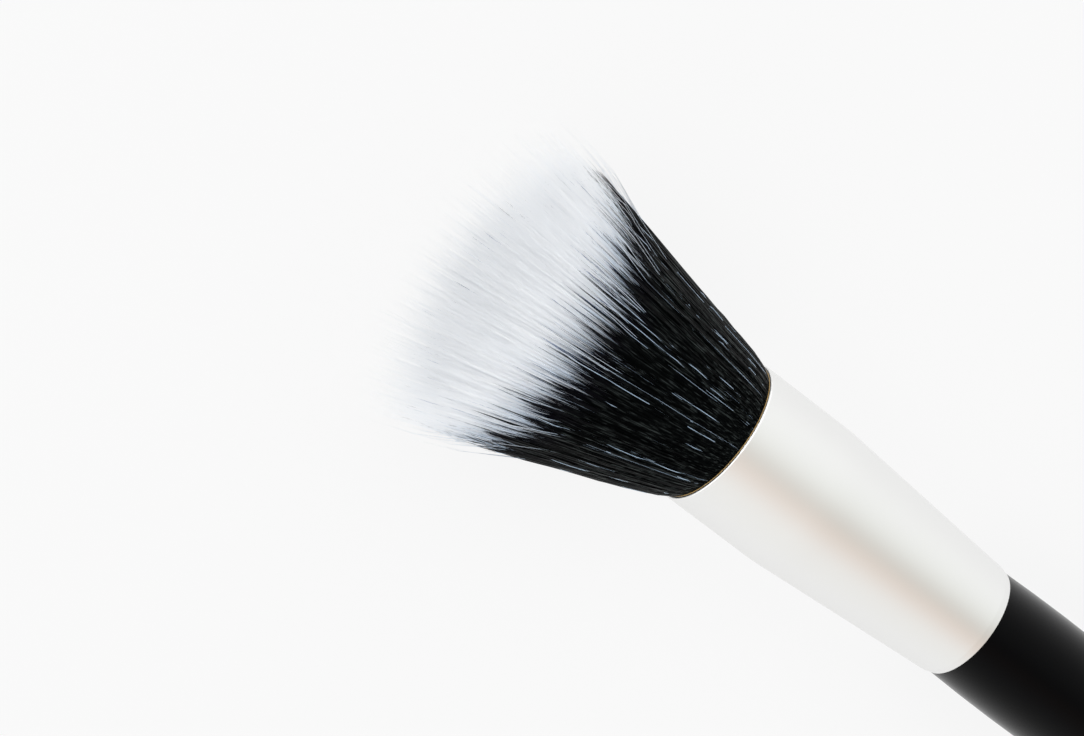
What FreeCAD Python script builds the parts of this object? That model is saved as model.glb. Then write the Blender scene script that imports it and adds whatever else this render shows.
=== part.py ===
"""Duo fibre face brush, lying on its side as it comes to rest on a table.

A flared round head of short black fibres and longer white fibres, a drawn aluminium
ferrule and a turned, lacquered wooden handle. The fibre roots are tied with thread and
potted in the ferrule, and the handle's tenon is glued into the ferrule's tail.

Every piece is first drawn about the brush's own axis: u runs along X from the ferrule's
mouth (u = 0) towards the handle, and h = -u is the height above the mouth in the head.
The brush is then laid on the floor, z = 0, with its head towards -X. All sizes are in mm.
"""

import FreeCAD, Part
import Mesh
import math
import os
from FreeCAD import Vector

# Ferrule: a straight barrel at the mouth, then a cone down to the handle.
mouth_diameter = 20.0
cone_taper = 3.9
barrel_length = 14.3
ferrule_length = 42.7
ferrule_wall = 0.45
lip_round = 0.28
shoulder_round = 45.0
tail_curl_length = 1.1
tail_curl_depth = 0.3
tail_curl_round = 0.9
edge_break = 0.08

# Handle: a soft belly just behind the ferrule, a long taper and a round nose.
handle_length = 103.5
handle_step = 0.02
belly_swell = 0.2
belly_behind_ferrule = 10.8
belly_turn_deg = 2.0
nose_diameter = 6.8
tenon_clearance = 0.05
tenon_chamfer = 0.8
groove_pitch = 4.6
groove_width = 1.2
groove_depth = 0.35

# Roots: tied with thread and potted in glue inside the ferrule.
root_depth = 13.0
root_squeeze = 1.2
neck_length = 2.8
neck_before_tie = 0.6
tie_thread = 0.55
tie_turns = 4
tie_from_root_end = 0.6
glue_rise = 3.6
glue_below_roots = 5.0
tie_clearance = 0.02
fibre_clearance = 0.05

# Glue round the tenon, and the air that is left between it and the potted roots.
air_gap = 5.7
bare_tenon_front = 2.2
glue_from_tail = 1.2

# Head: its outer flare, the share of it that the white core takes, and its lean.
flare_slope = 0.274
lip_bulge = 0.54
bulge_height = 1.2
tip_tuck = 0.4
core_share_mouth = 0.72
core_share_top = 0.925
head_lean_deg = 4.2
lean_height = 3.0

# Locks: the tapered tufts that the fibres of each crown gather into.
black_length = 28.6
black_spread = 3.2
black_lock_length = 6.4
white_beyond_black = 9.7
white_spread = 1.5
white_lock_length = 7.4
lock_gap = 0.3
lock_ripple = 0.34
lock_waist = 0.66
lock_waist_height = 0.52
tip_wander = 0.35
middle_locks = 7
core_dish = 0.6

# Resting: how far the fibre tips give on the floor, and the height over which that fades.
floor_press = 1.0
press_softness = 0.5

tail_diameter = mouth_diameter - cone_taper
mouth_radius = mouth_diameter / 2
tail_radius = tail_diameter / 2
bore_radius = mouth_radius - ferrule_wall
tail_face_radius = tail_radius - tail_curl_depth
tail_bore_radius = tail_face_radius - ferrule_wall / 2
bundle_radius = bore_radius - fibre_clearance
root_radius = bundle_radius - root_squeeze
tie_radius = root_radius + tie_thread
tie_back = root_depth - tie_from_root_end
tie_front = tie_back - tie_turns * tie_thread
neck_back = tie_front - neck_before_tie
neck_front = neck_back - neck_length
root_glue_back = root_depth + glue_below_roots
tenon_radius = tail_bore_radius - tenon_clearance
tenon_front = root_glue_back + air_gap
handle_end = ferrule_length + handle_length
white_length = black_length + white_beyond_black
black_split = black_length - black_lock_length
white_split = white_length - white_lock_length

# Rings of locks over the white core's top, from its rim inwards: each has a share of the
# core's radius, and its locks double in number from the middle out to the skirt's.
core_ring_shares = (1.0, 0.87, 0.74, 0.58, 0.42, 0.26, 0.12)
core_ring_doublings = (3, 3, 3, 2, 2, 1, 0)
lock_count = middle_locks * 2 ** core_ring_doublings[0]
lock_step = 2 * math.pi / lock_count

# Fractions of a turn whose multiples scatter evenly, for lengths and for wander.
SCATTER_LENGTH = 0.618034
SCATTER_WANDER = 0.754878

AXIS_START = Vector(0, 0, 0)
AXIS_ALONG = Vector(1, 0, 0)


def scatter(index, fraction):
    """A number from -1 to 1 that looks random and is the same in every build."""
    return 2 * ((index + 0.5) * fraction % 1.0) - 1


def turned(outline):
    """The solid that a closed outline sweeps about the brush's axis."""
    return Part.Face(outline).revolve(AXIS_START, AXIS_ALONG, 360)


def polygon(corners):
    """A closed outline of straight edges through (u, r) corners."""
    points = [Vector(u, r, 0) for u, r in corners]
    return Part.makePolygon(points + points[:1])


def rounded_polygon(corners):
    """A closed outline through (u, r, rounding) corners, each rounded by its own radius."""
    points = [Vector(u, r, 0) for u, r, _ in corners]
    count = len(points)
    starts, middles, ends = [], [], []
    for i, here in enumerate(points):
        before = points[i - 1] - here
        after = points[(i + 1) % count] - here
        half_angle = before.getAngle(after) / 2
        reach = min(corners[i][2] / math.tan(half_angle), 0.48 * before.Length, 0.48 * after.Length)
        inwards = (before.normalize() + after.normalize()).normalize()
        starts.append(here + before * reach)
        middles.append(here + inwards * reach * (1 - math.sin(half_angle)) / math.cos(half_angle))
        ends.append(here + after * reach)
    edges = []
    for i in range(count):
        edges.append(Part.Arc(starts[i], middles[i], ends[i]).toShape())
        edges.append(Part.makeLine(ends[i], starts[(i + 1) % count]))
    return Part.Wire(edges)


def make_ferrule():
    """Drawn tube with an eased lip, and a tail edge that curls in over the handle."""
    curl_start = ferrule_length - tail_curl_length
    return turned(rounded_polygon([
        (0, bore_radius, edge_break),
        (0, mouth_radius, lip_round),
        (barrel_length, mouth_radius, shoulder_round),
        (curl_start, tail_radius, tail_curl_round),
        (ferrule_length, tail_face_radius, edge_break),
        (ferrule_length, tail_bore_radius, edge_break),
        (barrel_length, bore_radius, shoulder_round),
    ]))


def fill_of_ferrule(ferrule, front, back):
    """Everything inside the ferrule between two stations, face to face with its wall."""
    mid_wall = ferrule_wall / 2
    corners = [(front, 0)]
    for u in sorted((front, barrel_length, back)):
        if front <= u <= back:
            down_cone = max(0.0, (u - barrel_length) / (ferrule_length - barrel_length))
            inside = bore_radius + down_cone * (tail_bore_radius - bore_radius)
            corners.append((u, inside + mid_wall))
    corners.append((back, 0))
    return turned(polygon(corners)).cut(ferrule)


def grip_curves():
    """The grip's outline: an arc over the belly, a long flat arc, and the round nose."""
    start = Vector(ferrule_length, tail_face_radius - handle_step, 0)
    belly = start + Vector(belly_behind_ferrule, belly_swell, 0)
    belly_round = (belly_behind_ferrule ** 2 + belly_swell ** 2) / (2 * belly_swell)
    turn = math.radians(belly_turn_deg)
    outwards = Vector(math.sin(turn), math.cos(turn), 0)
    leaving = belly + (outwards - Vector(0, 1, 0)) * belly_round

    # The long arc leaves the belly smoothly and meets the nose's circle smoothly.
    nose_radius = nose_diameter / 2
    nose_centre = Vector(handle_end - nose_radius, 0, 0)
    span = leaving - nose_centre
    long_round = (span.dot(span) - nose_radius ** 2) / (2 * (span.dot(outwards) - nose_radius))
    long_centre = leaving - outwards * long_round
    meeting = nose_centre + (nose_centre - long_centre) * (nose_radius / (long_round - nose_radius))
    between = (outwards + (meeting - long_centre) / long_round).normalize()
    half_nose = ((meeting - nose_centre) / nose_radius + AXIS_ALONG).normalize()
    return [
        Part.Arc(start, belly, leaving),
        Part.Arc(leaving, long_centre + between * long_round, meeting),
        Part.Arc(meeting, nose_centre + half_nose * nose_radius, Vector(handle_end, 0, 0)),
    ]


def make_handle():
    """Turned wood: the grip, and a tenon with glue grooves that enters the ferrule."""
    corners = [(tenon_front, 0), (tenon_front, tenon_radius - tenon_chamfer)]
    corners.append((tenon_front + tenon_chamfer, tenon_radius))
    groove_count = int((ferrule_length - tenon_front - groove_width) / groove_pitch)
    for i in range(groove_count):
        groove = tenon_front + (i + 0.75) * groove_pitch
        corners.append((groove - groove_width / 2, tenon_radius))
        corners.append((groove, tenon_radius - groove_depth))
        corners.append((groove + groove_width / 2, tenon_radius))
    corners.append((ferrule_length, tenon_radius))
    corners.append((ferrule_length, tail_face_radius - handle_step))
    points = [Vector(u, r, 0) for u, r in corners]
    edges = [Part.makeLine(a, b) for a, b in zip(points, points[1:])]
    edges += [curve.toShape() for curve in grip_curves()]
    edges.append(Part.makeLine(Vector(handle_end, 0, 0), points[0]))
    return turned(Part.Wire(edges))


def make_handle_glue(ferrule, handle):
    """Glue that fills the room between the tenon and the ferrule, grooves included."""
    front = tenon_front + bare_tenon_front
    return fill_of_ferrule(ferrule, front, ferrule_length - glue_from_tail).cut(handle)


def make_root_glue(ferrule):
    """Cup of cured glue in the barrel, with the tied fibre roots sitting in it."""
    front = root_depth - glue_rise
    socket = Part.makeCylinder(
        tie_radius + tie_clearance, glue_rise, Vector(front, 0, 0), AXIS_ALONG)
    return fill_of_ferrule(ferrule, front, root_glue_back).cut(socket)


def make_root_tie():
    """Turns of thread side by side round the roots, pulled into one band."""
    flank = root_radius + tie_thread / 2
    corners = [Vector(tie_back, flank, 0), Vector(tie_back, root_radius, 0),
               Vector(tie_front, root_radius, 0), Vector(tie_front, flank, 0)]
    edges = [Part.makeLine(a, b) for a, b in zip(corners, corners[1:])]
    for i in range(tie_turns):
        left = tie_front + i * tie_thread
        edges.append(Part.Arc(
            Vector(left, flank, 0),
            Vector(left + tie_thread / 2, tie_radius, 0),
            Vector(left + tie_thread, flank, 0)).toShape())
    return turned(Part.Wire(edges))


def flare(height):
    """Outer radius of the fibres at a height above the mouth, or below it if negative."""
    if height >= 0:
        bulge = lip_bulge * (1 - math.exp(-height / bulge_height))
        past_black = max(0.0, (height - black_length) / white_beyond_black)
        return bundle_radius + flare_slope * height + bulge - tip_tuck * past_black ** 2
    narrowing = min(1.0, max(0.0, (-height - neck_front) / neck_length))
    return bundle_radius - narrowing * root_squeeze


def core_radius(height):
    """Radius at which the white core meets the black skirt."""
    along = min(1.0, max(0.0, height / white_split))
    return flare(height) * (core_share_mouth + along * (core_share_top - core_share_mouth))


def rest_on_floor():
    """Placement that lays the brush down on its fibre tips and its handle."""
    rim_lock_share = (core_ring_shares[0] + core_ring_shares[1]) / 2
    tips_radius = flare(white_length) * rim_lock_share - floor_press
    samples = 400
    slopes = []
    for curve in grip_curves():
        for i in range(samples + 1):
            share = i / samples
            point = curve.value((1 - share) * curve.FirstParameter + share * curve.LastParameter)
            slopes.append((tips_radius - point.y) / (point.x + white_length))
    floor_slope = min(slopes)
    tilt = math.atan(floor_slope)
    mouth_height = (tips_radius - floor_slope * white_length) * math.cos(tilt)
    turn = FreeCAD.Rotation(Vector(0, 1, 0), math.degrees(tilt))
    return FreeCAD.Placement(Vector(0, 0, mouth_height), turn)


def pressed(z):
    """Height of a fibre point after the floor has flattened the bundle's underside."""
    if z >= press_softness:
        return z
    squashed_band = floor_press + press_softness
    share = max(0.0, (z + floor_press) / squashed_band)
    return press_softness * share ** (squashed_band / press_softness)


def head_point(height, radius, angle, rest):
    """A point of the head: leant to one side, laid down, and pressed by the floor."""
    lean = 0.0
    if height > 0:
        lean = math.radians(head_lean_deg) * (1 - math.exp(-height / lean_height))
    side, up = radius * math.cos(angle), radius * math.sin(angle)
    along = -height * math.cos(lean) - side * math.sin(lean)
    across = -height * math.sin(lean) + side * math.cos(lean)
    point = rest.multVec(Vector(along, across, up))
    return Vector(point.x, point.y, pressed(point.z))


def band(lower, upper):
    """Triangles between two rings with as many points each."""
    faces = []
    count = len(lower)
    for i in range(count):
        j = (i + 1) % count
        faces += [(lower[i], lower[j], upper[j]), (lower[i], upper[j], upper[i])]
    return faces


def stacked(rings):
    """Triangles of a wall through a series of rings."""
    return [face for low, high in zip(rings, rings[1:]) for face in band(low, high)]


def lock(base, waist, tip):
    """Triangles of one tapered lock: a base polygon, a narrower waist and a pointed tip."""
    count = len(waist)
    return band(base, waist) + [(waist[i], waist[(i + 1) % count], tip) for i in range(count)]


def solid_of(triangles):
    """One closed solid from triangles that share their corners."""
    shell = Part.Shape()
    shell.makeShapeFromMesh(Mesh.Mesh([list(face) for face in triangles]).Topology, 1e-5)
    return Part.makeSolid(shell)


def skirt_heights():
    """Heights of the skirt's rings, from the root end up to where its locks part."""
    return [-root_depth, -neck_back, -neck_front, 0.0, 0.5 * bulge_height, 1.6 * bulge_height,
            0.2 * black_split, 0.5 * black_split, black_split]


def seam_ring(height, rest):
    """The ring where the white core meets the black skirt, shared by both."""
    return [head_point(height, core_radius(height), lock_step * i, rest) for i in range(lock_count)]


def skirt_ring(height, rest):
    """The skirt's outer ring: a groove and a crest for each lock."""
    ripple = lock_ripple * min(1.0, max(0.0, height / black_split))
    ring = []
    for i in range(lock_count):
        ring.append(head_point(height, flare(height) - ripple, lock_step * i, rest))
        ring.append(head_point(height, flare(height), lock_step * (i + 0.5), rest))
    return ring


def make_black_fibres(rest):
    """Skirt of short black fibres round the core, ending in a crown of pointed locks."""
    outer = [skirt_ring(h, rest) for h in skirt_heights()]
    inner = [seam_ring(h, rest) for h in skirt_heights()]
    faces = stacked(outer) + [(a, c, b) for a, b, c in stacked(inner)]
    for i in range(lock_count):
        j = (i + 1) % lock_count
        left, crest, right = outer[0][2 * i], outer[0][2 * i + 1], outer[0][2 * j]
        faces += [(inner[0][i], crest, left), (inner[0][i], inner[0][j], crest),
                  (inner[0][j], right, crest)]
        base = [outer[-1][2 * i], outer[-1][2 * i + 1], outer[-1][2 * j], inner[-1][j], inner[-1][i]]
        tip_height = black_length + black_spread * (0.25 + scatter(i, SCATTER_LENGTH))
        wander = tip_wander * scatter(i, SCATTER_WANDER)
        faces += black_lock(base, i + 0.5, wander, tip_height, rest)
    return solid_of(faces)


def black_lock(base, place, wander, tip_height, rest):
    """One lock of the skirt's crown, at a place counted in locks round the brush."""
    waist_height = black_split + lock_waist_height * (tip_height - black_split)
    crest, groove = flare(waist_height), flare(waist_height) - lock_ripple
    inside = core_radius(waist_height) + lock_gap
    middle = place + wander / 3
    corners = [(groove, -1), (crest, 0), (groove, 1), (inside, 1), (inside, -1)]
    waist = [head_point(waist_height, radius, lock_step * (middle + side * lock_waist / 2), rest)
             for radius, side in corners]
    tip_radius = (core_radius(tip_height) + flare(tip_height)) / 2 + lock_gap
    return lock(base, waist, head_point(tip_height, tip_radius, lock_step * (place + wander), rest))


def make_white_fibres(rest):
    """Core of long white fibres, its whole top drawn out into pointed locks."""
    heights = skirt_heights() + [white_split]
    sides = [seam_ring(h, rest) for h in heights]
    faces = stacked(sides)
    root = head_point(-root_depth, 0.0, 0.0, rest)
    faces += [(root, sides[0][(i + 1) % lock_count], sides[0][i]) for i in range(lock_count)]
    rings = []
    for share, doublings in zip(core_ring_shares, core_ring_doublings):
        count = middle_locks * 2 ** doublings
        rings.append([(share, 2 * math.pi * i / count) for i in range(count)])
    cells = [rings[-1]]
    for outer, inner in zip(rings, rings[1:]):
        ratio = len(outer) // len(inner)
        for k, corner in enumerate(inner):
            rim = [outer[(k * ratio + m) % len(outer)] for m in range(ratio + 1)]
            cells.append(rim + [inner[(k + 1) % len(inner)], corner])
    for number, cell in enumerate(cells):
        faces += white_lock(cell, number, rest)
    return solid_of(faces)


def white_lock(cell, number, rest):
    """One lock over a cell of the core's top, given by its (share, angle) corners."""
    corners = [(share * math.cos(angle), share * math.sin(angle)) for share, angle in cell]
    mid_x = sum(x for x, _ in corners) / len(corners)
    mid_y = sum(y for _, y in corners) / len(corners)
    size = max(math.hypot(x - mid_x, y - mid_y) for x, y in corners)
    wander = tip_wander * size
    wander_angle = math.pi * scatter(number, SCATTER_WANDER)
    off_x, off_y = wander * math.cos(wander_angle), wander * math.sin(wander_angle)
    tip_height = white_length + white_spread * scatter(number, SCATTER_LENGTH)
    waist_height = white_split + lock_waist_height * (tip_height - white_split)

    def at(x, y, height, full_radius):
        return head_point(height, full_radius * math.hypot(x, y), math.atan2(y, x), rest)

    base = [at(x, y, white_split - core_dish * (1 - x * x - y * y), core_radius(white_split))
            for x, y in corners]
    waist = [at(mid_x + lock_waist * (x - mid_x) + off_x / 3,
                mid_y + lock_waist * (y - mid_y) + off_y / 3,
                waist_height, flare(waist_height) * core_share_top) for x, y in corners]
    return lock(base, waist, at(mid_x + off_x, mid_y + off_y, tip_height, flare(tip_height)))


def main():
    rest = rest_on_floor()
    ferrule = make_ferrule()
    handle = make_handle()
    shapes = {
        "ferrule": ferrule,
        "handle": handle,
        "handle_glue": make_handle_glue(ferrule, handle),
        "root_glue": make_root_glue(ferrule),
        "root_tie": make_root_tie(),
    }
    for shape in shapes.values():
        shape.Placement = rest
    shapes["black_fibres"] = make_black_fibres(rest)
    shapes["white_fibres"] = make_white_fibres(rest)

    # The origin is on the floor, under the middle of the whole brush's box.
    box = FreeCAD.BoundBox()
    for shape in shapes.values():
        box.add(shape.optimalBoundingBox(False, False))
    to_origin = Vector(-box.Center.x, -box.Center.y, 0)
    os.makedirs("parts", exist_ok=True)
    for name, shape in shapes.items():
        shape.translate(to_origin)
        shape.exportStep("parts/" + name + ".step")
        print(name, len(shape.Solids), "solid,", round(shape.Volume, 2), "mm3")
    print("mouth centre", rest.Base + to_origin, "axis", rest.Rotation.multVec(AXIS_ALONG))


main()
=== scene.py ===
"""Looks of the duo fibre face brush, built around its fixed CAD frame, in metres."""

import math

import bmesh
import bpy
from mathutils import Matrix, Vector


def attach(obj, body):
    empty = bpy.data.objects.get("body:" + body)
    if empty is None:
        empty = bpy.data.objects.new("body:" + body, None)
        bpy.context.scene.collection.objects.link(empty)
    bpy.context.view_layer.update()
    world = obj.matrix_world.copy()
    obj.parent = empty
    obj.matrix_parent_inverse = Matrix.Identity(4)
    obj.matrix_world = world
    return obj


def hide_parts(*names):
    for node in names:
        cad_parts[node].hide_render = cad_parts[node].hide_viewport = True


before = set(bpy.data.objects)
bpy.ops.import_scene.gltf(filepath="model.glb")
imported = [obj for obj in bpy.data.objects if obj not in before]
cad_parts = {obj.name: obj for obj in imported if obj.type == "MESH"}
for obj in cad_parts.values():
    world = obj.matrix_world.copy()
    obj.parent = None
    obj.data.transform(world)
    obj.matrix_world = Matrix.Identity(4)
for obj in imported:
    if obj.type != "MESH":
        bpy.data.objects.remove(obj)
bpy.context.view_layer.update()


# Black fibres
# Several thousand short crimped polyester fibres, the stiff outer skirt of the head and half
# of its core. They are bundled with the white ones, tied at the root and set in the ferrule.

# How the brush lies: the middle of the ferrule's mouth, how far the head's axis tilts, and
# the turn that lays it down from upright.
MM = 0.001
mouth_centre = Vector((-52.109, 2.876, 14.730)) * MM
tilt_deg = 4.551
laying_turn = math.radians(tilt_deg - 90)

# The head: a cone on the bundle's disc, swollen a little over the lip, tucked in at the tips,
# leaning to one side and pressed flat where it touches the floor.
bundle_radius = 9.5 * MM
flare_slope = 0.274
lip_bulge = 0.54 * MM
bulge_height = 1.2 * MM
black_length = 28.6 * MM
white_length = 38.3 * MM
tip_tuck = 0.4 * MM
head_lean_deg = 4.2
lean_height = 3.0 * MM
rooted_below_mouth = 1.5 * MM
floor_press = 1.0 * MM
press_softness = 0.5 * MM

# How its fibres run. Those on the +Y flank are of one even length. A fibre has the first
# share of its free play a little past the lip and all of it at its end. Spreading starts below
# the black ends, and no fibre weaves out past the outermost share of the radius. Each lock
# reads its own row of a noise, far from the others' rows.
flank_from, flank_full = 0.78, 0.97
loosened_share = 0.4
loosened_height = 3 * MM
spread_from, spread_full = 22 * MM, 30 * MM
outermost_share = 1.006
tip_width_share = 0.2
lock_tone_share = 0.5
ring_crowding = 1.7
noise_row_spacing = 997.0


def add(tree, kind, inputs, **settings):
    """Adds a node: each input is a plain value, or a node or an output to link it from."""
    node = tree.nodes.new(kind)
    for name, value in settings.items():
        setattr(node, name, value)
    for key, value in inputs.items():
        if isinstance(value, bpy.types.Node):
            value = next(socket for socket in value.outputs if socket.enabled)
        if isinstance(value, bpy.types.NodeSocket):
            tree.links.new(value, node.inputs[key])
        else:
            node.inputs[key].default_value = value
    return node


def colour(code):
    """Linear colour of an sRGB hex code."""
    parts = [int(code[i:i + 2], 16) / 255 for i in (1, 3, 5)]
    return [p / 12.92 if p <= 0.04045 else ((p + 0.055) / 1.055) ** 2.4 for p in parts] + [1.0]


def new_material(name):
    """An empty node material, and its tree."""
    material = bpy.data.materials.new(name)
    material.use_nodes = True
    material.node_tree.nodes.clear()
    return material, material.node_tree


# The head's rule of growth: fibres stand on the mouth's disc, spread with the head's flare,
# gather into locks towards their tips, lean to one side, and lie down with the brush. Heights
# are lengths from the mouth, and shares go from 0 to 1 of the head's radius or a fibre's run.
fibre_tree = bpy.data.node_groups.new("fibre_bundle", "GeometryNodeTree")
tree_inputs = {}
for kind, names in (
        ("Int", ("Fibres", "Seed", "Segments")),
        ("Float", ("Inner share", "Outer share", "Length", "Length scatter", "Lock scatter",
                   "Lock skew", "Locks across", "Gather", "Gather from", "Wander",
                   "Wander length", "Weave", "Spread", "Longer on side", "Diameter", "Taper")),
        ("Material", ("Material",))):
    for name in names:
        socket = fibre_tree.interface.new_socket(name, in_out="INPUT",
                                                 socket_type="NodeSocket" + kind)
        tree_inputs[name] = socket.identifier
fibre_tree.interface.new_socket("Geometry", in_out="OUTPUT", socket_type="NodeSocketGeometry")

given = add(fibre_tree, "NodeGroupInput", {}).outputs
math_node, vector_math = "ShaderNodeMath", "ShaderNodeVectorMath"

# Root of each fibre on a disc of radius 1, evenly scattered between two shares of it. Each
# kind of random number has a seed of its own, a fixed step from the bundle's.
inner_square = add(fibre_tree, math_node, {0: given["Inner share"], 1: 2.0}, operation="POWER")
outer_square = add(fibre_tree, math_node, {0: given["Outer share"], 1: 2.0}, operation="POWER")
seed_of = {drawn: add(fibre_tree, math_node, {0: given["Seed"], 1: step})
           for drawn, step in (("angle", 11.0), ("tone", 23.0), ("length", 37.0))}
random_square = add(fibre_tree, "FunctionNodeRandomValue",
                    {2: inner_square, 3: outer_square, "Seed": given["Seed"]})
share = add(fibre_tree, math_node, {0: random_square.outputs[1]}, operation="SQRT")
angle = add(fibre_tree, "FunctionNodeRandomValue", {2: 0.0, 3: math.tau, "Seed": seed_of["angle"]})
cosine = add(fibre_tree, math_node, {0: angle.outputs[1]}, operation="COSINE")
sine = add(fibre_tree, math_node, {0: angle.outputs[1]}, operation="SINE")
root_direction = add(fibre_tree, "ShaderNodeCombineXYZ", {"X": cosine, "Y": sine})
root_place = add(fibre_tree, vector_math, {0: root_direction, "Scale": share}, operation="SCALE")
tone = add(fibre_tree, "FunctionNodeRandomValue", {2: 0.0, 3: 1.0, "Seed": seed_of["tone"]})

# The lock that it belongs to, and how long it is: its lock's own length and its own. A skew
# above 1 makes most locks short and a few long. On the flank the locks are all of one length.
locks = add(fibre_tree, "ShaderNodeTexVoronoi",
            {"Vector": root_place, "Scale": given["Locks across"], "Randomness": 1.0},
            voronoi_dimensions="2D")
lock_random = add(fibre_tree, "ShaderNodeSeparateXYZ", {0: locks.outputs["Color"]})
lock_rank = add(fibre_tree, math_node, {0: lock_random, 1: given["Lock skew"]},
                operation="POWER")
lock_swing = add(fibre_tree, math_node, {0: lock_rank, 1: 2.0, 2: -1.0},
                 operation="MULTIPLY_ADD")
lock_length = add(fibre_tree, math_node,
                  {0: lock_swing, 1: given["Lock scatter"], 2: given["Length"]},
                  operation="MULTIPLY_ADD")
own_random = add(fibre_tree, "FunctionNodeRandomValue",
                 {2: -1.0, 3: 1.0, "Seed": seed_of["length"]})
fibre_length = add(fibre_tree, math_node,
                   {0: own_random.outputs[1], 1: given["Length scatter"], 2: lock_length},
                   operation="MULTIPLY_ADD")
across_head = add(fibre_tree, "ShaderNodeSeparateXYZ", {0: root_place})
flank_share = add(fibre_tree, "ShaderNodeMapRange",
                  {"Value": across_head.outputs["Y"], "From Min": flank_from,
                   "From Max": flank_full})
flank_length = add(fibre_tree, math_node, {0: given["Length"], 1: given["Longer on side"]})
to_even_out = add(fibre_tree, math_node, {0: flank_length, 1: lock_length},
                  operation="SUBTRACT")
fibre_length = add(fibre_tree, math_node, {0: flank_share, 1: to_even_out, 2: fibre_length},
                   operation="MULTIPLY_ADD")

# Its tone is partly its own and partly its lock's.
mixed_tone = add(fibre_tree, "ShaderNodeMix",
                 {"Factor": lock_tone_share, 2: tone.outputs[1],
                  3: lock_random.outputs["Z"]},
                 data_type="FLOAT")

stored = add(fibre_tree, "GeometryNodePoints", {"Count": given["Fibres"]})
for name, kind, value in (("root_place", "FLOAT_VECTOR", root_place),
                          ("lock_place", "FLOAT_VECTOR", locks.outputs["Position"]),
                          ("reach", "FLOAT", fibre_length), ("tone", "FLOAT", mixed_tone),
                          ("root_share", "FLOAT", share),
                          ("lock_row", "FLOAT", lock_random.outputs["Y"])):
    stored = add(fibre_tree, "GeometryNodeStoreNamedAttribute",
                 {"Geometry": stored, "Name": name, "Value": value}, data_type=kind)

# One fibre is a slim three-sided spike, a cone of height 1 whose rings are moved below.
spike = add(fibre_tree, "GeometryNodeMeshCone",
            {"Vertices": 3, "Side Segments": given["Segments"], "Radius Top": 0.0,
             "Radius Bottom": 1.0, "Depth": 1.0})
stood = add(fibre_tree, "GeometryNodeInstanceOnPoints", {"Points": stored, "Instance": spike})
fibres = add(fibre_tree, "GeometryNodeRealizeInstances", {"Geometry": stood})
at = add(fibre_tree, "GeometryNodeInputPosition", {})
local = add(fibre_tree, "ShaderNodeSeparateXYZ", {0: at})
along = local.outputs["Z"]
fibres = add(fibre_tree, "GeometryNodeStoreNamedAttribute",
             {"Geometry": fibres, "Name": "along", "Value": along}, data_type="FLOAT")
read = {}
for name, kind in (("root_place", "FLOAT_VECTOR"), ("lock_place", "FLOAT_VECTOR"),
                   ("reach", "FLOAT"), ("lock_row", "FLOAT"), ("root_share", "FLOAT")):
    read[name] = add(fibre_tree, "GeometryNodeInputNamedAttribute", {"Name": name},
                     data_type=kind)

# Height of a ring: the first is under the lip, the second at it, and the rest above, closest
# together near the lip, where the fibre bends most.
first_step = add(fibre_tree, math_node, {0: 1.0, 1: given["Segments"]}, operation="DIVIDE")
past_lip = add(fibre_tree, "ShaderNodeMapRange",
               {"Value": along, "From Min": first_step, "From Max": 1.0}, clamp=False)
above = add(fibre_tree, math_node, {0: past_lip, 1: 0.0}, operation="MAXIMUM")
above_share = add(fibre_tree, math_node, {0: above, 1: ring_crowding}, operation="POWER")
below = add(fibre_tree, "ShaderNodeMapRange",
            {"Value": along, "From Min": 0.0, "From Max": first_step,
             "To Min": -rooted_below_mouth, "To Max": 0.0})
height = add(fibre_tree, math_node, {0: above_share, 1: read["reach"], 2: below},
             operation="MULTIPLY_ADD")

# Radius of the head's outside at that height.
free_height = add(fibre_tree, math_node, {0: height, 1: 0.0}, operation="MAXIMUM")
cone = add(fibre_tree, math_node,
           {0: free_height, 1: flare_slope, 2: bundle_radius + lip_bulge},
           operation="MULTIPLY_ADD")
fading = add(fibre_tree, math_node, {0: free_height, 1: -bulge_height}, operation="DIVIDE")
bulge_left = add(fibre_tree, math_node, {0: fading}, operation="EXPONENT")
bulged = add(fibre_tree, math_node, {0: bulge_left, 1: -lip_bulge, 2: cone},
             operation="MULTIPLY_ADD")
past_black = add(fibre_tree, "ShaderNodeMapRange",
                 {"Value": height, "From Min": black_length, "From Max": white_length})
tucked = add(fibre_tree, math_node, {0: past_black, 1: -tip_tuck, 2: bulged},
             operation="MULTIPLY_ADD")

# The fibres of a lock wander together, a little from the lip on and more towards their free
# ends. Some weave in and out through their neighbours, and some spread at their ends.
wave_height = add(fibre_tree, math_node, {0: height, 1: given["Wander length"]},
                  operation="DIVIDE")
noise_row = add(fibre_tree, math_node, {0: read["lock_row"], 1: noise_row_spacing},
                operation="MULTIPLY")
noise_place = add(fibre_tree, "ShaderNodeCombineXYZ", {"X": wave_height, "Y": noise_row})
noise = add(fibre_tree, "ShaderNodeTexNoise",
            {"Vector": noise_place, "Scale": 1.0, "Detail": 1.0})
centred = add(fibre_tree, vector_math, {0: noise.outputs["Color"], 1: (0.5, 0.5, 0.5)},
              operation="SUBTRACT")
free_from_lip = add(fibre_tree, "ShaderNodeMapRange",
                    {"Value": height, "From Min": 0.0, "From Max": loosened_height,
                     "To Max": loosened_share})
free_share = add(fibre_tree, math_node,
                 {0: above_share, 1: 1.0 - loosened_share, 2: free_from_lip},
                 operation="MULTIPLY_ADD")
wander = add(fibre_tree, math_node, {0: free_share, 1: given["Wander"]}, operation="MULTIPLY")
wander_off = add(fibre_tree, vector_math, {0: centred, "Scale": wander}, operation="SCALE")
wander_flat = add(fibre_tree, vector_math, {0: wander_off, 1: (1.0, 1.0, 0.0)},
                  operation="MULTIPLY")
in_and_out = add(fibre_tree, "ShaderNodeSeparateXYZ", {0: centred})
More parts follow.
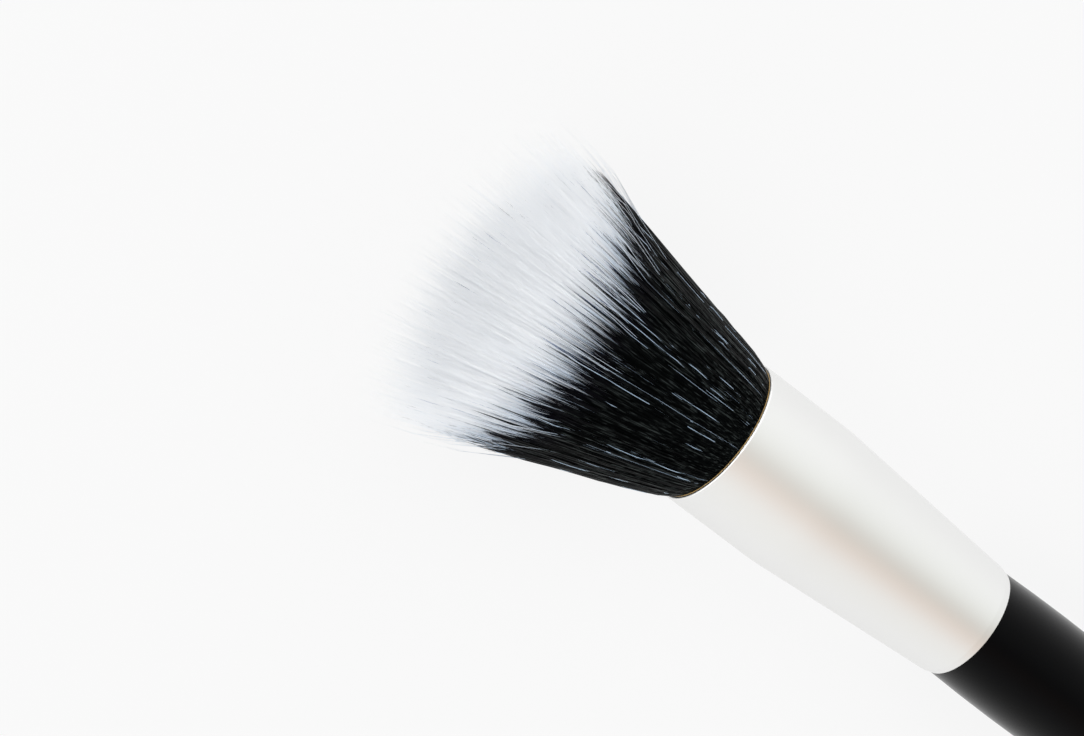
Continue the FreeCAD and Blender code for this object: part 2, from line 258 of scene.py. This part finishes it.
weave = add(fibre_tree, math_node, {0: in_and_out.outputs["Z"], 1: given["Weave"]},
            operation="MULTIPLY")
weave_share = add(fibre_tree, math_node, {0: weave, 1: free_from_lip, 2: 1.0},
                  operation="MULTIPLY_ADD")
surface_share = add(fibre_tree, math_node, {0: outermost_share, 1: read["root_share"]},
                    operation="DIVIDE")
weave_share = add(fibre_tree, math_node, {0: weave_share, 1: surface_share},
                  operation="MINIMUM")
spread_share = add(fibre_tree, "ShaderNodeMapRange",
                   {"Value": height, "From Min": spread_from, "From Max": spread_full,
                    "To Min": 1.0,
                    "To Max": add(fibre_tree, math_node, {0: given["Spread"], 1: 1.0})},
                   interpolation_type="SMOOTHSTEP")
spread_out = add(fibre_tree, math_node, {0: tucked, 1: spread_share}, operation="MULTIPLY")
woven = add(fibre_tree, math_node, {0: spread_out, 1: weave_share}, operation="MULTIPLY")

# The fibre's place across the head: drawn to the middle of its lock towards the tip.
along_gather = add(fibre_tree, "ShaderNodeMapRange",
                   {"Value": above_share, "From Min": given["Gather from"], "From Max": 1.0,
                    "To Min": 0.0, "To Max": given["Gather"]}, interpolation_type="SMOOTHSTEP")
place = add(fibre_tree, "ShaderNodeMix",
            {"Factor": along_gather, 4: read["root_place"], 5: read["lock_place"]},
            data_type="VECTOR")
place_across = add(fibre_tree, vector_math, {0: place.outputs[1], "Scale": woven},
                   operation="SCALE")

# Its thickness: full along its shaft, and tapered to a point over the last part.
thin = add(fibre_tree, "ShaderNodeMapRange",
           {"Value": above_share, "From Min": given["Taper"], "From Max": 1.0, "To Min": 1.0,
            "To Max": tip_width_share})
full_width = add(fibre_tree, math_node, {0: thin, 1: given["Diameter"]}, operation="MULTIPLY")
half_width = add(fibre_tree, math_node, {0: full_width, 1: 0.5}, operation="MULTIPLY")
corner_flat = add(fibre_tree, "ShaderNodeCombineXYZ",
                  {"X": local.outputs["X"], "Y": local.outputs["Y"]})
corner_way = add(fibre_tree, vector_math, {0: corner_flat}, operation="NORMALIZE")
corner_off = add(fibre_tree, vector_math, {0: corner_way, "Scale": half_width},
                 operation="SCALE")

# Its corners are set round its line, and the line leans to one side from the lip on.
up_head = add(fibre_tree, "ShaderNodeCombineXYZ", {"Z": height})
moved = place_across
for part in (wander_flat, corner_off, up_head):
    moved = add(fibre_tree, vector_math, {0: moved, 1: part})
lean_fading = add(fibre_tree, math_node, {0: free_height, 1: -lean_height}, operation="DIVIDE")
lean_left = add(fibre_tree, math_node, {0: lean_fading}, operation="EXPONENT")
head_lean = math.radians(head_lean_deg)
lean = add(fibre_tree, math_node, {0: lean_left, 1: -head_lean, 2: head_lean},
           operation="MULTIPLY_ADD")
leant = add(fibre_tree, "ShaderNodeVectorRotate", {"Vector": moved, "Angle": lean},
            rotation_type="X_AXIS")
fibres = add(fibre_tree, "GeometryNodeSetPosition", {"Geometry": fibres, "Position": leant})

# Lay the brush down, and press flat what would reach below the floor.
fibres = add(fibre_tree, "GeometryNodeTransform",
             {"Geometry": fibres, "Translation": mouth_centre,
              "Rotation": (0.0, laying_turn, 0.0)})
laid_at = add(fibre_tree, "GeometryNodeInputPosition", {})
laid = add(fibre_tree, "ShaderNodeSeparateXYZ", {0: laid_at})
squash_share = add(fibre_tree, "ShaderNodeMapRange",
                   {"Value": laid.outputs["Z"], "From Min": -floor_press,
                    "From Max": press_softness})
squash_power = (floor_press + press_softness) / press_softness
squashed = add(fibre_tree, math_node, {0: squash_share, 1: squash_power}, operation="POWER")
floor_height = add(fibre_tree, math_node, {0: squashed, 1: press_softness},
                   operation="MULTIPLY")
pressed = add(fibre_tree, math_node, {0: laid.outputs["Z"], 1: floor_height},
              operation="MAXIMUM")
pressed_place = add(fibre_tree, "ShaderNodeCombineXYZ",
                    {"X": laid.outputs["X"], "Y": laid.outputs["Y"], "Z": pressed})
fibres = add(fibre_tree, "GeometryNodeSetPosition",
             {"Geometry": fibres, "Position": pressed_place})
fibres = add(fibre_tree, "GeometryNodeSetShadeSmooth",
             {"Geometry": fibres, "Shade Smooth": False})
fibres = add(fibre_tree, "GeometryNodeSetMaterial",
             {"Geometry": fibres, "Material": given["Material"]})
add(fibre_tree, "NodeGroupOutput", {"Geometry": fibres})


def grow_fibres(name, slot, node, **sizes):
    """One mesh of fibres: the tree runs with these sizes, and its result is kept as mesh."""
    grown = bpy.data.objects.new(name, bpy.data.meshes.new(name))
    bpy.context.scene.collection.objects.link(grown)
    modifier = grown.modifiers.new("grow", "NODES")
    modifier.node_group = fibre_tree
    for key, value in sizes.items():
        modifier[tree_inputs[key.replace("_", " ")]] = value
    depsgraph = bpy.context.evaluated_depsgraph_get()
    mesh = bpy.data.meshes.new_from_object(grown.evaluated_get(depsgraph))
    grown.modifiers.clear()
    empty_mesh, grown.data = grown.data, mesh
    bpy.data.meshes.remove(empty_mesh)
    mesh.name = name
    for used_up in ("root_place", "lock_place", "reach", "lock_row"):
        mesh.attributes.remove(mesh.attributes[used_up])
    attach(grown, "root")
    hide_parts(node)


# Crimped black polyester fibre, drawn and dyed through. Its crimp, about 1.8 mm from bend to
# bend, breaks the sheen into short grey dashes: a painted sheen, grey painted into its colour
# by a noise along each fibre. Ends on the outside of the head stay black; ends inside are
# painted navy for the blue light that the white fibres round them scatter.
crimps_per_fibre = 16.0
painted_sheen_from, painted_sheen_full = 0.56, 0.68
surface_from, painted_navy_full = 0.94, 0.88
tip_from, tip_full = 0.86, 1.0
black_fibre, tree = new_material("dyed_black_polyester_fibre")
tone = add(tree, "ShaderNodeAttribute", {}, attribute_name="tone")
along = add(tree, "ShaderNodeAttribute", {}, attribute_name="along")
root_share = add(tree, "ShaderNodeAttribute", {}, attribute_name="root_share")
crimp_place = add(tree, math_node, {0: along.outputs["Fac"], 1: crimps_per_fibre},
                  operation="MULTIPLY")
fibre_row = add(tree, math_node, {0: tone.outputs["Fac"], 1: noise_row_spacing},
                operation="MULTIPLY")
crimp_spot = add(tree, "ShaderNodeCombineXYZ", {"X": crimp_place, "Y": fibre_row})
crimp = add(tree, "ShaderNodeTexNoise", {"Vector": crimp_spot, "Scale": 1.0, "Detail": 1.0})
# Painted sheen: where the crimp noise is high, the fibre's colour is lifted to a sheen grey.
painted_sheen_share = add(tree, "ShaderNodeMapRange",
                 {"Value": crimp, "From Min": painted_sheen_from, "From Max": painted_sheen_full})
shaft = add(tree, "ShaderNodeMix",
            {"Factor": tone.outputs["Fac"], 6: colour("#020304"), 7: colour("#0d0f0f")},
            data_type="RGBA")
with_painted_sheen = add(tree, "ShaderNodeMix",
             {"Factor": painted_sheen_share, 6: shaft.outputs[2], 7: colour("#3e4443")},
             data_type="RGBA")
# Painted navy on the tips of inner fibres, for the blue the white fibres round them scatter.
inside_share = add(tree, "ShaderNodeMapRange",
                   {"Value": root_share.outputs["Fac"], "From Min": surface_from,
                    "From Max": painted_navy_full})
tip_with_painted_navy = add(tree, "ShaderNodeMix",
          {"Factor": inside_share, 6: colour("#15131a"), 7: colour("#3f69a6")},
          data_type="RGBA")
tip_share = add(tree, "ShaderNodeMapRange",
                {"Value": along.outputs["Fac"], "From Min": tip_from, "From Max": tip_full})
shade = add(tree, "ShaderNodeMix",
            {"Factor": tip_share, 6: with_painted_sheen.outputs[2], 7: tip_with_painted_navy.outputs[2]},
            data_type="RGBA")
surface = add(tree, "ShaderNodeBsdfPrincipled",
              {"Base Color": shade.outputs[2], "Roughness": 0.4, "IOR": 1.5,
               "Specular IOR Level": 0.05})
add(tree, "ShaderNodeOutputMaterial", {"Surface": surface})

# The skirt on the outside, the fibres inside it, longer locks that reach into the white as
# needles, and single long fibres between them. Real ones are 0.06 to 0.08 mm thick. These
# are thicker and fewer, as coarse as they need to be to show one by one.
for number in (0, 1):
    grow_fibres(f"black_skirt_fibres_{number}", "black_fibres", "black_fibres",
                Fibres=3000, Seed=1 + number, Segments=10, Inner_share=0.9, Outer_share=1.0,
                Length=27.0 * MM, Length_scatter=0.7 * MM, Lock_scatter=2.2 * MM,
                Lock_skew=1.6, Locks_across=26.0, Gather=0.93, Gather_from=0.8,
                Wander=0.5 * MM, Wander_length=5 * MM, Weave=0.1, Longer_on_side=4.6 * MM,
                Diameter=0.12 * MM, Taper=0.88, Material=black_fibre)
grow_fibres("black_inner_fibres", "black_fibres", "black_fibres",
            Fibres=6500, Seed=3, Segments=3, Inner_share=0.3, Outer_share=0.93,
            Length=26.7 * MM, Length_scatter=1.0 * MM, Lock_scatter=2.4 * MM, Lock_skew=1.6,
            Locks_across=30.0, Gather=0.85, Gather_from=0.72, Wander=0.8 * MM,
            Wander_length=12 * MM, Diameter=0.12 * MM, Taper=0.8, Material=black_fibre)
grow_fibres("black_long_locks", "black_fibres", "black_fibres",
            Fibres=2200, Seed=4, Segments=7, Inner_share=0.84, Outer_share=1.0,
            Length=30.1 * MM, Length_scatter=0.8 * MM, Lock_scatter=4.0 * MM, Lock_skew=1.5,
            Locks_across=19.0, Gather=0.95, Gather_from=0.4, Wander=0.8 * MM,
            Wander_length=16 * MM, Longer_on_side=1.4 * MM, Diameter=0.12 * MM, Taper=0.8,
            Material=black_fibre)
grow_fibres("black_long_fibres", "black_fibres", "black_fibres",
            Fibres=300, Seed=14, Segments=7, Inner_share=0.9, Outer_share=0.99,
            Length=31.0 * MM, Length_scatter=2.4 * MM, Lock_scatter=1.6 * MM, Lock_skew=1.0,
            Locks_across=34.0, Wander=0.6 * MM, Wander_length=12 * MM, Spread=0.02,
            Longer_on_side=1 * MM, Diameter=0.1 * MM, Taper=0.85, Material=black_fibre)


# White fibres
# Long straight nylon fibres that run through the whole head, some of them on its outside.
# They are softer than the black ones and stand about a centimetre above them, and they are
# tied and glued in the same bundle.

# Extruded nylon fibre, left undyed: a cool, silky white that lets much of the light through.
# A lone thin fibre in front of black scatters mostly blue. That blue is painted into the colour:
# the outermost fibres are painted pale blue over the black fibres and white past them.
past_black_from, past_black_full = 0.74, 0.92
white_full = 0.86
white_fibre, tree = new_material("undyed_nylon_fibre")
tone = add(tree, "ShaderNodeAttribute", {}, attribute_name="tone")
along = add(tree, "ShaderNodeAttribute", {}, attribute_name="along")
root_share = add(tree, "ShaderNodeAttribute", {}, attribute_name="root_share")
white = add(tree, "ShaderNodeMix",
            {"Factor": tone.outputs["Fac"], 6: colour("#f0f3f7"), 7: colour("#ffffff")},
            data_type="RGBA")
past_black_share = add(tree, "ShaderNodeMapRange",
                       {"Value": along.outputs["Fac"], "From Min": past_black_from,
                        "From Max": past_black_full})
inside_share = add(tree, "ShaderNodeMapRange",
                   {"Value": root_share.outputs["Fac"], "From Min": surface_from,
                    "From Max": white_full})
clear_of_painted_blue_share = add(tree, math_node, {0: past_black_share, 1: inside_share},
                  operation="MAXIMUM")
# Painted pale blue on the outer fibres' lower part, where they run over the black.
shade = add(tree, "ShaderNodeMix",
            {"Factor": clear_of_painted_blue_share, 6: colour("#a8c8e6"), 7: white.outputs[2]},
            data_type="RGBA")
surface = add(tree, "ShaderNodeBsdfPrincipled",
              {"Base Color": shade.outputs[2], "Roughness": 0.4, "IOR": 1.53,
               "Sheen Weight": 0.8, "Sheen Roughness": 0.5})
ray = add(tree, "ShaderNodeLightPath", {})
light_let_through = add(tree, "ShaderNodeBsdfTransparent", {"Color": colour("#fdfeff")})
fibre = add(tree, "ShaderNodeMixShader",
            {0: ray.outputs["Is Shadow Ray"], 1: surface, 2: light_let_through})
add(tree, "ShaderNodeOutputMaterial", {"Surface": fibre})

# The core in two bodies, fibres that weave in and out of the black skirt, and thin flyaways
# round the tips. They too are drawn coarser than the real ones, which are about 0.07 mm.
for number, (inner, outer, spread) in enumerate(((0.0, 0.66, 0.0), (0.66, 0.95, 0.05))):
    grow_fibres(f"white_core_fibres_{number}", "white_fibres", "white_fibres",
                Fibres=8500, Seed=5 + number, Segments=4, Inner_share=inner,
                Outer_share=outer, Length=36.4 * MM, Length_scatter=2.8 * MM,
                Lock_scatter=2.4 * MM, Lock_skew=1.0, Locks_across=38.0, Gather=0.7,
                Gather_from=0.5, Wander=0.8 * MM, Wander_length=20 * MM, Spread=spread,
                Diameter=0.1 * MM, Taper=0.5, Material=white_fibre)
grow_fibres("white_outer_fibres", "white_fibres", "white_fibres",
            Fibres=180, Seed=9, Segments=24, Inner_share=0.92, Outer_share=0.985,
            Length=37.4 * MM, Length_scatter=3 * MM, Locks_across=70.0, Wander=0.2 * MM,
            Wander_length=5 * MM, Weave=0.42, Diameter=0.1 * MM, Taper=0.7,
            Material=white_fibre)
grow_fibres("white_flyaway_fibres", "white_fibres", "white_fibres",
            Fibres=220, Seed=12, Segments=8, Inner_share=0.85, Outer_share=1.0,
            Length=38.2 * MM, Length_scatter=3.4 * MM, Locks_across=70.0, Wander=1.0 * MM,
            Wander_length=16 * MM, Spread=0.09, Diameter=0.07 * MM, Taper=0.6,
            Material=white_fibre)


# Ferrule
# One tube drawn from aluminium sheet, a straight barrel at the mouth and a cone down to the
# handle. The fibre bundle is glued into its mouth and the handle into its tail.

# Bead-blasted and anodised aluminium: a fine, pearly satin with soft, wide reflections. Its
# grain of 0.11 mm is a little coarser than the real blasting's.
blasted_grain = MM / 9
satin_aluminium, tree = new_material("bead_blasted_anodised_aluminium")
place = add(tree, "ShaderNodeTexCoord", {})
grain = add(tree, "ShaderNodeTexNoise",
            {"Vector": place.outputs["Object"], "Scale": 1 / blasted_grain, "Detail": 2.0})
bump = add(tree, "ShaderNodeBump", {"Height": grain, "Strength": 0.05, "Distance": 0.02 * MM})
surface = add(tree, "ShaderNodeBsdfPrincipled",
              {"Base Color": colour("#f4f4f3"), "Metallic": 1.0, "Roughness": 0.42,
               "Normal": bump})
add(tree, "ShaderNodeOutputMaterial", {"Surface": surface})
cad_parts["ferrule"].material_slots[0].material = satin_aluminium


# Root tie and glue
# Out of sight, four turns of waxed thread tie the fibres' roots. The tied bundle stands in a
# cup of amber resin inside the ferrule, and more of it holds the handle's tenon.

# Waxed polyester thread, twisted: slanting light and dark bands with a dull waxy gloss. One
# radian of their wave is 0.8 mm long, which sets them 5 mm apart, much coarser than the twist
# of so thin a thread. The wave node takes ten radians for each metre and unit of its scale.
wave_radian = 0.8 * MM
waxed_thread, tree = new_material("waxed_polyester_thread")
place = add(tree, "ShaderNodeTexCoord", {})
twist = add(tree, "ShaderNodeTexWave",
            {"Vector": place.outputs["Object"], "Scale": 1 / (10 * wave_radian),
             "Distortion": 2.0},
            bands_direction="DIAGONAL")
shade = add(tree, "ShaderNodeMix",
            {"Factor": twist.outputs["Fac"], 6: colour("#c3bba8"), 7: colour("#e0dac9")},
            data_type="RGBA")
bump = add(tree, "ShaderNodeBump",
           {"Height": twist.outputs["Fac"], "Strength": 0.5, "Distance": 0.05 * MM})
surface = add(tree, "ShaderNodeBsdfPrincipled",
              {"Base Color": shade.outputs[2], "Roughness": 0.55, "Normal": bump})
add(tree, "ShaderNodeOutputMaterial", {"Surface": surface})
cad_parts["root_tie"].material_slots[0].material = waxed_thread

# Two-part epoxy, poured and cured: clear amber, glossy, with faint clouds.
cloud_size = 2.5 * MM
cured_epoxy, tree = new_material("cured_amber_epoxy")
place = add(tree, "ShaderNodeTexCoord", {})
clouds = add(tree, "ShaderNodeTexNoise",
             {"Vector": place.outputs["Object"], "Scale": 1 / cloud_size})
shade = add(tree, "ShaderNodeMix",
            {"Factor": clouds, 6: colour("#c39a56"), 7: colour("#dcbb7c")},
            data_type="RGBA")
surface = add(tree, "ShaderNodeBsdfPrincipled",
              {"Base Color": shade.outputs[2], "Roughness": 0.15, "IOR": 1.55})
add(tree, "ShaderNodeOutputMaterial", {"Surface": surface})
for glued in ("root_glue", "handle_glue"):
    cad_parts[glued].material_slots[0].material = cured_epoxy

# A little of it has crept up between the fibres and the mouth's inner edge: a thin round
# bead, made as a ring on the mouth's plane and then laid down with the brush.
bead_radius = 9.56 * MM
section_radius = 0.05 * MM
round_steps, section_steps = 160, 8
bead = bmesh.new()
rings = []
for step in range(round_steps):
    turn = math.tau * step / round_steps
    ring = []
    for corner in range(section_steps):
        bend = math.tau * corner / section_steps
        out = bead_radius + section_radius * math.cos(bend)
        ring.append(bead.verts.new((out * math.cos(turn), out * math.sin(turn),
                                    section_radius * math.sin(bend))))
    rings.append(ring)
for step in range(round_steps):
    here, after = rings[step], rings[(step + 1) % round_steps]
    for corner in range(section_steps):
        beside = (corner + 1) % section_steps
        face = bead.faces.new((here[corner], after[corner], after[beside], here[beside]))
        face.smooth = True
bead.transform(Matrix.Translation(mouth_centre) @ Matrix.Rotation(laying_turn, 4, "Y"))
bead_mesh = bpy.data.meshes.new("mouth_glue_line")
bead.to_mesh(bead_mesh)
bead.free()
bead_mesh.materials.append(cured_epoxy)
glue_line = bpy.data.objects.new("mouth_glue_line", bead_mesh)
bpy.context.scene.collection.objects.link(glue_line)
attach(glue_line, "root")


# Handle
# One piece of turned hardwood, dipped in black lacquer and rubbed to a satin. Its tenon is
# glued into the ferrule's tail.

# Rubbed black lacquer over wood: deep black with a soft, dim gloss that grows brighter
# towards the edges, over ripples about 1.1 mm apart.
lacquer_ripple = MM / 0.9
satin_lacquer, tree = new_material("satin_black_lacquer")
place = add(tree, "ShaderNodeTexCoord", {})
ripples = add(tree, "ShaderNodeTexNoise",
              {"Vector": place.outputs["Object"], "Scale": 1 / lacquer_ripple, "Detail": 2.0})
bump = add(tree, "ShaderNodeBump", {"Height": ripples, "Strength": 0.05, "Distance": 0.1 * MM})
surface = add(tree, "ShaderNodeBsdfPrincipled",
              {"Base Color": colour("#020203"), "Roughness": 0.26,
               "Specular Tint": colour("#565656"), "Normal": bump})
add(tree, "ShaderNodeOutputMaterial", {"Surface": surface})
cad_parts["handle"].material_slots[0].material = satin_lacquer


# Floor
# A plain table under the brush, covered with pale backdrop paper. It is large enough to fill
# the picture from every side.

floor_half_side = 3.0
floor_mesh = bpy.data.meshes.new("floor")
floor_mesh.from_pydata([(-floor_half_side, -floor_half_side, 0),
                        (floor_half_side, -floor_half_side, 0),
                        (floor_half_side, floor_half_side, 0),
                        (-floor_half_side, floor_half_side, 0)], [], [(0, 1, 2, 3)])
floor = bpy.data.objects.new("floor", floor_mesh)
bpy.context.scene.collection.objects.link(floor)

# Matt paper, almost white: it gives the eye an even ground with the brush's faint shadow. To
# the camera and in reflections most of it is its own plain white, and the rest is lit.
own_white_share = 0.92
pale_paper, tree = new_material("pale_backdrop_paper")
ray = add(tree, "ShaderNodeLightPath", {})
seen = add(tree, math_node,
           {0: ray.outputs["Is Camera Ray"], 1: ray.outputs["Is Glossy Ray"]},
           operation="MAXIMUM")
seen_share = add(tree, math_node, {0: seen, 1: own_white_share}, operation="MULTIPLY")
matt = add(tree, "ShaderNodeBsdfDiffuse", {"Color": colour("#f6f6f6")})
own_white = add(tree, "ShaderNodeEmission", {"Color": colour("#f9f9f9"), "Strength": 1.0})
paper = add(tree, "ShaderNodeMixShader", {0: seen_share, 1: matt, 2: own_white})
add(tree, "ShaderNodeOutputMaterial", {"Surface": paper})
floor_mesh.materials.append(pale_paper)


# Light
# Four large softboxes round the table, open overhead where the camera looks in, and a
# little light from the white room. Reflections show the room alone, not the softboxes.

softbox_side = 1.1
softbox_distance = 0.9
for name, azimuth_deg, height_deg, brightness in (
        ("softbox_left", -90, 42, 1.15), ("softbox_right", 90, 42, 1.25),
        ("softbox_head", 180, 38, 1.38), ("softbox_handle", 0, 38, 0.8)):
    azimuth, rise = math.radians(azimuth_deg), math.radians(height_deg)
    way = Vector((math.cos(azimuth) * math.cos(rise), math.sin(azimuth) * math.cos(rise),
                  math.sin(rise)))
    lamp_data = bpy.data.lights.new(name, "AREA")
    lamp_data.shape = "SQUARE"
    lamp_data.size = softbox_side
    lamp_data.energy = brightness * softbox_side ** 2 * math.pi
    lamp = bpy.data.objects.new(name, lamp_data)
    lamp.location = way * softbox_distance
    lamp.rotation_mode = "QUATERNION"
    lamp.rotation_quaternion = way.to_track_quat("Z", "Y")
    lamp.visible_camera = False
    lamp.visible_glossy = False
    bpy.context.scene.collection.objects.link(lamp)

# The room that the metal and the lacquer mirror: white at the sides, dimmer and warm where
# the camera stands in the middle, and brighter past the head, where the ferrule's lip looks.
# Places in it are parts of a direction of length 1, along Y for the ramp and X for the head.
head_side_from, head_side_full = 0.15, -0.3
brighter_past_head = 0.7
world = bpy.data.worlds.new("studio")
bpy.context.scene.world = world
world.use_nodes = True
tree = world.node_tree
tree.nodes.clear()
way = add(tree, "ShaderNodeTexCoord", {})
across = add(tree, "ShaderNodeSeparateXYZ", {0: way.outputs["Generated"]})
across_share = add(tree, "ShaderNodeMapRange",
                   {"Value": across.outputs["Y"], "From Min": -1.0, "From Max": 1.0})
room = add(tree, "ShaderNodeValToRGB", {"Fac": across_share})
stops = room.color_ramp.elements
for sideways, code in ((-0.65, "#f7f7f5"), (-0.25, "#ebd6c8"), (-0.04, "#cbc7bf"),
                       (0.06, "#cfcdc7"), (0.38, "#f5f7f3"), (0.72, "#fdfefd"),
                       (1.0, "#cfd3d2")):
    stop = stops.new((sideways + 1) / 2)
    stop.color = colour(code)
stops.remove(stops[0])
stops.remove(stops[len(stops) - 1])
head_side = add(tree, "ShaderNodeMapRange",
                {"Value": across.outputs["X"], "From Min": head_side_from,
                 "From Max": head_side_full})
room = add(tree, "ShaderNodeMix", {"Factor": head_side, 6: room, 7: colour("#ffffff")},
           data_type="RGBA")
gain = add(tree, math_node, {0: head_side, 1: brighter_past_head, 2: 1.0},
           operation="MULTIPLY_ADD")
room = add(tree, vector_math, {0: room.outputs[2], "Scale": gain}, operation="SCALE")
ray = add(tree, "ShaderNodeLightPath", {})
lit = add(tree, "ShaderNodeMix",
          {"Factor": ray.outputs["Is Glossy Ray"], 6: colour("#606060"), 7: room},
          data_type="RGBA")
seen = add(tree, "ShaderNodeMix",
           {"Factor": ray.outputs["Is Camera Ray"], 6: lit.outputs[2], 7: colour("#f8f8f8")},
           data_type="RGBA")
light = add(tree, "ShaderNodeBackground", {"Color": seen.outputs[2], "Strength": 1.0})
add(tree, "ShaderNodeOutputWorld", {"Surface": light})


# Camera
# It looks down on the head from the photograph's viewpoint, far off with a long lens, so
# that the brush runs out of the picture's lower right corner.

picture_width_px = 1084
focal_length_px = 5000
camera_place = Vector((-245.10, -2.01, 592.84)) * MM
right = Vector((0.76584, 0.60271, 0.22413))
upward = Vector((-0.57741, 0.79796, -0.17280))
back = Vector((-0.2830, 0.0029, 0.9591))
camera_data = bpy.data.cameras.new("camera")
camera_data.sensor_width = 36.0
camera_data.lens = camera_data.sensor_width * focal_length_px / picture_width_px
camera_data.clip_start = 0.01
camera_data.clip_end = 10.0
camera = bpy.data.objects.new("camera", camera_data)
bpy.context.scene.collection.objects.link(camera)
camera.matrix_world = (Matrix.Translation(camera_place)
                       @ Matrix((right, upward, back)).transposed().to_4x4())
bpy.context.scene.camera = camera
bpy.context.scene.view_settings.view_transform = "Standard"
